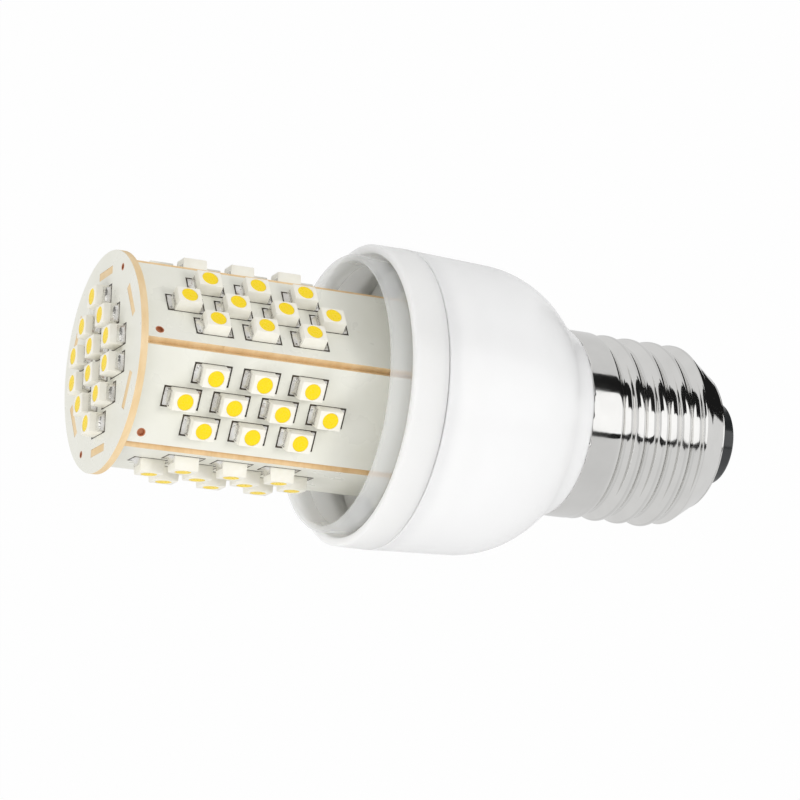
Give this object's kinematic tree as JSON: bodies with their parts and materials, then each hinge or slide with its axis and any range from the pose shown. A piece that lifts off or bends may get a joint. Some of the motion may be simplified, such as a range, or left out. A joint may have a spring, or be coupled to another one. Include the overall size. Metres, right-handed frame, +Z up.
{
  "type": "energy saving lamp with a tower of lights",
  "caption": "Screw-cap lamp: white bell housing, open ring mouth and a six-sided tower of boards with small yellow lights on its sides and end.",
  "frame": {"origin": "tip of the centre contact, on the lamp's axis", "axes": "+Z up the lamp's axis from the screw cap to the end board, -Y out of the front panel"},
  "size_m": [0.0416, 0.0416, 0.0956],
  "materials": {
    "cap_metal": "bright plated sheet",
    "contact_metal": "bright",
    "insulator_black": "dark gloss moulding",
    "housing_white": "gloss white moulding",
    "clear_plastic": "clear moulding",
    "board_white": "white lacquered board with tan edges",
    "light_body": "cream moulding",
    "phosphor": "yellow gel",
    "solder": "bright tin",
    "board_green": "green lacquered board",
    "capacitor_box": "dipped gloss box",
    "capacitor_can": "dark shrink sleeve",
    "rectifier_black": "black moulding",
    "fuse_coat": "green coat",
    "resistor_coat": "blue coat",
    "wire_red": "soft sleeve",
    "wire_black": "soft sleeve"
  },
  "bodies": {
    "root": {"screw_shell": "cap_metal", "insulator": "insulator_black", "centre_contact": "contact_metal", "bell_housing": "housing_white", "front_ring": "housing_white", "clear_collar": "clear_plastic", "base_board": "board_white", "end_board": "board_white", "driver_board": "board_green", "film_capacitor": "capacitor_box", "can_capacitor": "capacitor_can", "bridge_rectifier": "rectifier_black", "fuse_resistor": "fuse_coat", "bleeder_resistor": "resistor_coat", "live_wire": "wire_red", "neutral_wire": "wire_black", "tower_wire_minus": "wire_black", "tower_wire_plus": "wire_red", "panel_board_1": "board_white", "light_bodies_1": "light_body", "light_windows_1": "phosphor", "solder_fillets_1": "solder", "panel_board_2": "board_white", "light_bodies_2": "light_body", "light_windows_2": "phosphor", "solder_fillets_2": "solder", "panel_board_3": "board_white", "light_bodies_3": "light_body", "light_windows_3": "phosphor", "solder_fillets_3": "solder", "panel_board_4": "board_white", "light_bodies_4": "light_body", "light_windows_4": "phosphor", "solder_fillets_4": "solder", "panel_board_5": "board_white", "light_bodies_5": "light_body", "light_windows_5": "phosphor", "solder_fillets_5": "solder", "panel_board_6": "board_white", "light_bodies_6": "light_body", "light_windows_6": "phosphor", "solder_fillets_6": "solder", "light_bodies_end": "light_body", "light_windows_end": "phosphor", "solder_fillets_end": "solder"}
  },
  "joints": []
}
